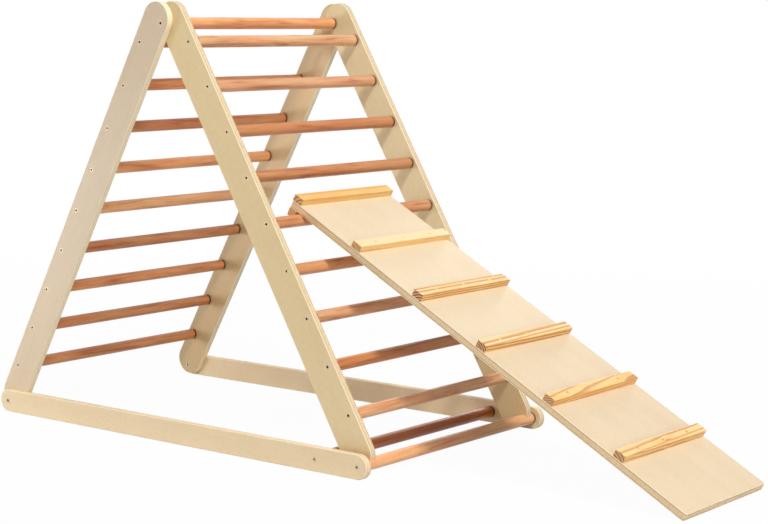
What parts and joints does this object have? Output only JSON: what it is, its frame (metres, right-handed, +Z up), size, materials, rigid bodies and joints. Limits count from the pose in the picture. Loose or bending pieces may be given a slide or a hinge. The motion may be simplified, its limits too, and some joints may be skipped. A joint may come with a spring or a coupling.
{
  "type": "folding climbing triangle",
  "caption": "Free-standing A-frame climber of two hinged rung ladders on a hinged base frame, with a cleated ramp hooked over one rung; folds flat.",
  "frame": {"origin": "on the floor at the middle of the footprint of the opened climber with its ramp", "axes": "+X from the rear ladder towards the ramp's lower end, +Y along the rungs, +Z up from the floor"},
  "size_m": [1.7191, 0.608, 0.9226],
  "materials": {
    "plywood": "light birch plywood, clear matt oil, layered edges",
    "hardwood": "reddish brown turned dowel, clear matt oil",
    "pine": "warm yellow planed pine, clear matt oil",
    "steel": "zinc plated, dull"
  },
  "bodies": {
    "base_frame": {"base_bar_left": "plywood", "base_bar_right": "plywood", "base_front_rung": "hardwood", "base_back_rung": "hardwood", "base_rung_screws": "steel"},
    "rear_ladder": {"rear_rail_left": "plywood", "rear_rail_right": "plywood", "rear_rung_1": "hardwood", "rear_rung_2": "hardwood", "rear_rung_3": "hardwood", "rear_rung_4": "hardwood", "rear_rung_5": "hardwood", "rear_rung_6": "hardwood", "rear_rung_7": "hardwood", "rear_rung_8": "hardwood", "rear_rung_9": "hardwood", "rear_rung_screws": "steel", "base_pivot_bolts": "steel", "base_pivot_inserts": "steel"},
    "front_ladder": {"front_rail_left": "plywood", "front_rail_right": "plywood", "pivot_rung": "hardwood", "front_rung_1": "hardwood", "front_rung_2": "hardwood", "front_rung_3": "hardwood", "front_rung_4": "hardwood", "front_rung_5": "hardwood", "front_rung_6": "hardwood", "front_rung_7": "hardwood", "front_rung_8": "hardwood", "front_rung_9": "hardwood", "front_rung_screws": "steel", "pivot_bolts": "steel"},
    "ramp": {"ramp_board": "plywood", "ramp_cleat_1": "pine", "ramp_cleat_2": "pine", "ramp_cleat_3": "pine", "ramp_cleat_4": "pine", "ramp_cleat_5": "pine", "ramp_cleat_6": "pine", "ramp_hook": "pine", "cleat_screws": "steel", "hook_screws": "steel"}
  },
  "joints": [
    {"name": "rear_fold", "type": "hinge", "parent": "base_frame", "child": "rear_ladder", "pos_m": [-0.82757, 0, 0.025], "axis": [0, -1, 0], "range_deg": [0, 120]},
    {"name": "front_fold", "type": "hinge", "parent": "rear_ladder", "child": "front_ladder", "pos_m": [-0.33064, 0, 0.87693], "axis": [0, 1, 0], "range_deg": [0, 60]},
    {"name": "ramp_tilt", "type": "hinge", "parent": "front_ladder", "child": "ramp", "pos_m": [-0.05347, 0, 0.47731], "axis": [0, -1, 0], "range_deg": [0, 28.5]}
  ],
  "couplings": [
    {"joint": "front_fold", "follows": "rear_fold", "ratio": 0.5}
  ]
}
